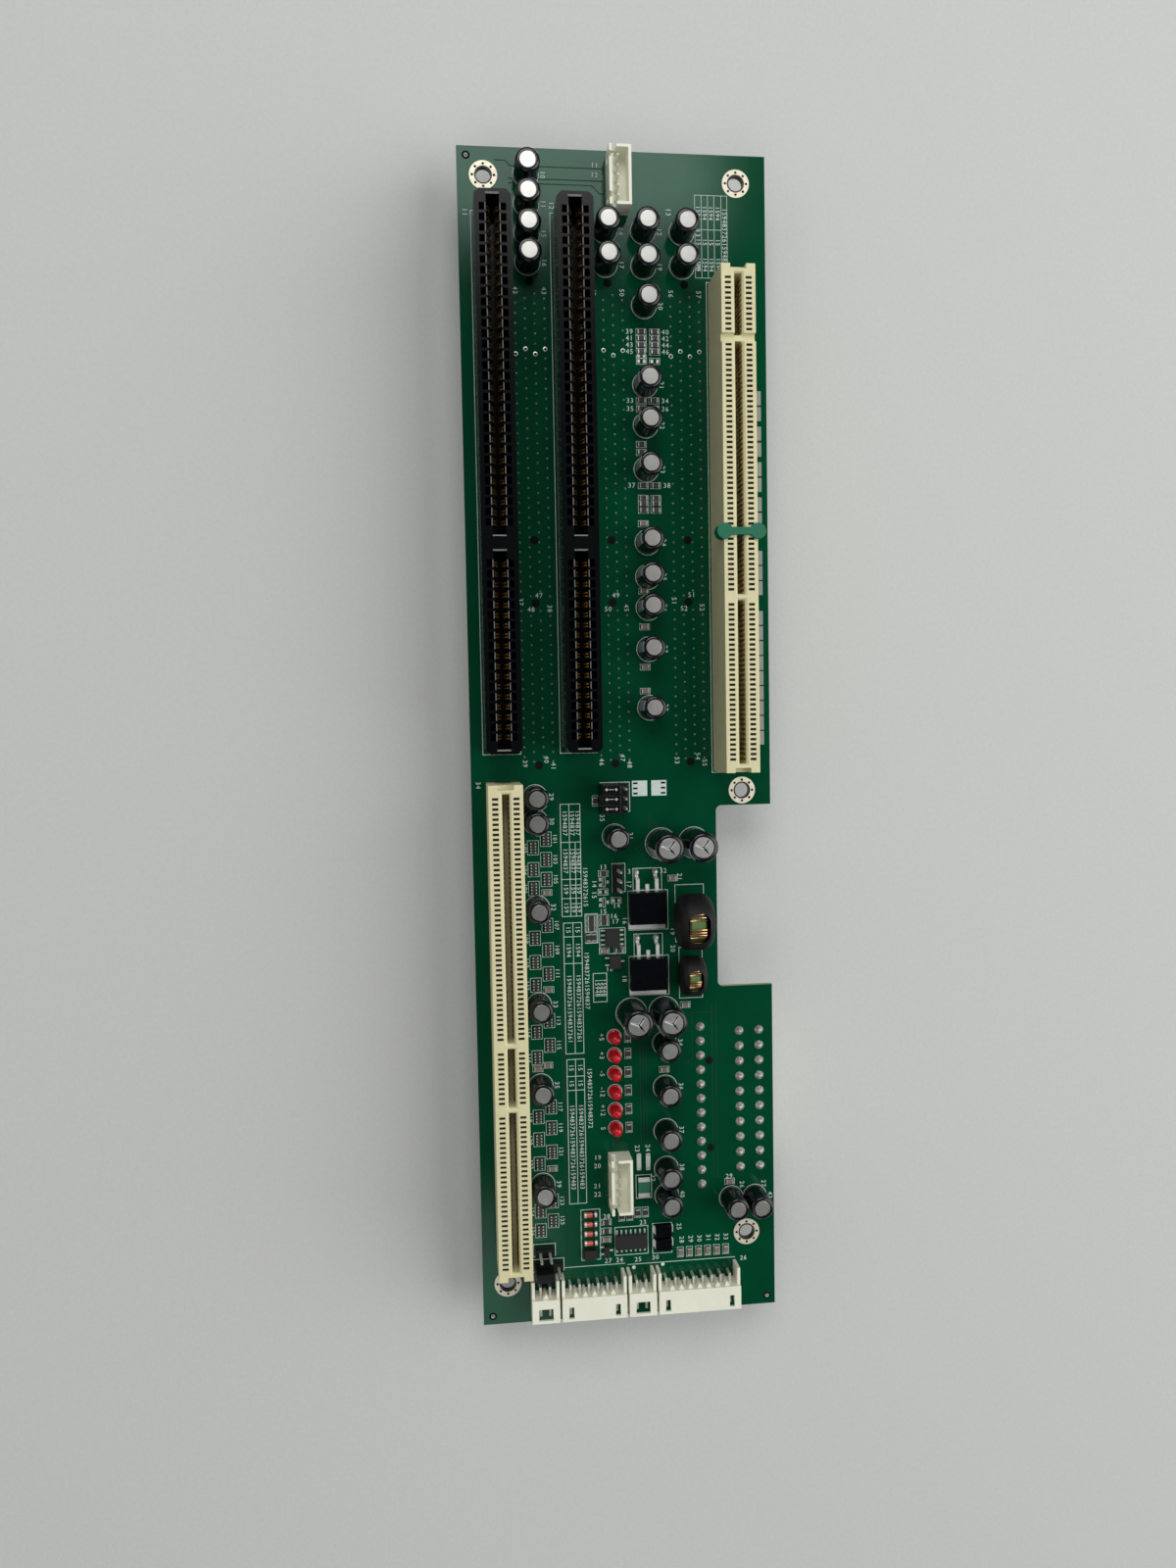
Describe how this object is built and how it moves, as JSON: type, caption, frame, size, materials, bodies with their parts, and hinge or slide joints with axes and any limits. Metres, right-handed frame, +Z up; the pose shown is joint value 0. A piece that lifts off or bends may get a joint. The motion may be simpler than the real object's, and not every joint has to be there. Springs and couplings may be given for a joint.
{
  "type": "backplane board",
  "caption": "Long flat backplane circuit board with black and ivory card slots on its front, more slots and power sockets on its back, capacitors, chokes and wafer headers.",
  "frame": {"origin": "under the middle of the board, on the plane of the rear slots' mouths", "axes": "+Z up through the component side, +Y along the board towards the expansion slots' end, +X towards the notched edge"},
  "size_m": [0.0804, 0.3084, 0.0325],
  "materials": {
    "laminate": "glossy green solder mask on glass-fibre laminate",
    "black_slot_plastic": "black moulded plastic",
    "ivory_slot_plastic": "ivory moulded plastic",
    "clip_plastic": "green moulded plastic",
    "capacitor_sleeve": "black shrink sleeve with bare aluminium top",
    "tinned_metal": "tin-plated",
    "wafer_plastic": "off-white moulded plastic",
    "power_plastic": "natural white moulded plastic",
    "jumper_plastic": "black moulded plastic",
    "lamp_plastic": "clear red resin",
    "core_coating": "green coated powder core",
    "copper_wire": "enamelled copper",
    "shrink_sleeve": "black shrink tubing",
    "diode_glass": "orange glass with tinned ends",
    "fuse_coating": "green coated",
    "chip_ceramic": "dark coated ceramic",
    "moulded_epoxy": "black moulded epoxy"
  },
  "bodies": {
    "root": {"bus_mode_jumper_block": "jumper_plastic", "choke_core_1": "core_coating", "choke_core_2": "core_coating", "choke_sleeve_1": "shrink_sleeve", "choke_sleeve_2": "shrink_sleeve", "choke_winding_1": "copper_wire", "choke_winding_2": "copper_wire", "circuit_board": "laminate", "circuit_leads": "tinned_metal", "cpu_card_slot": "ivory_slot_plastic", "edge_header_1": "wafer_plastic", "edge_header_2": "wafer_plastic", "edge_header_3": "wafer_plastic", "edge_header_4": "wafer_plastic", "edge_header_pins": "tinned_metal", "front_pci_slot": "ivory_slot_plastic", "glass_diodes": "diode_glass", "isa_slot_1": "black_slot_plastic", "isa_slot_2": "black_slot_plastic", "jumper_pins": "tinned_metal", "jumper_shunts": "jumper_plastic", "keyboard_header_1": "wafer_plastic", "keyboard_header_2": "wafer_plastic", "keyboard_header_pins": "tinned_metal", "keying_clip": "clip_plastic", "large_capacitor_1": "capacitor_sleeve", "large_capacitor_2": "capacitor_sleeve", "large_capacitor_3": "capacitor_sleeve", "large_capacitor_4": "capacitor_sleeve", "logic_circuit": "moulded_epoxy", "moulded_capacitor": "moulded_epoxy", "moulded_diodes": "moulded_epoxy", "power_header": "power_plastic", "power_header_pins": "tinned_metal", "power_jumper_block_1": "jumper_plastic", "power_jumper_block_2": "jumper_plastic", "power_socket": "power_plastic", "power_socket_pins": "tinned_metal", "rear_pci_slot_1": "ivory_slot_plastic", "rear_pci_slot_2": "ivory_slot_plastic", "rear_pci_slot_3": "ivory_slot_plastic", "regulator_circuit": "moulded_epoxy", "resettable_fuse": "fuse_coating", "resistor_arrays": "chip_ceramic", "small_capacitors": "capacitor_sleeve", "status_lamp_1": "lamp_plastic", "status_lamp_2": "lamp_plastic", "status_lamp_3": "lamp_plastic", "status_lamp_4": "lamp_plastic", "status_lamp_5": "lamp_plastic", "status_lamp_6": "lamp_plastic", "switch_transistor_1": "moulded_epoxy", "switch_transistor_2": "moulded_epoxy", "transistor_case_1": "moulded_epoxy", "transistor_case_2": "moulded_epoxy", "transistor_metal_1": "tinned_metal", "transistor_metal_2": "tinned_metal", "voltage_jumper_block": "jumper_plastic"}
  },
  "joints": []
}
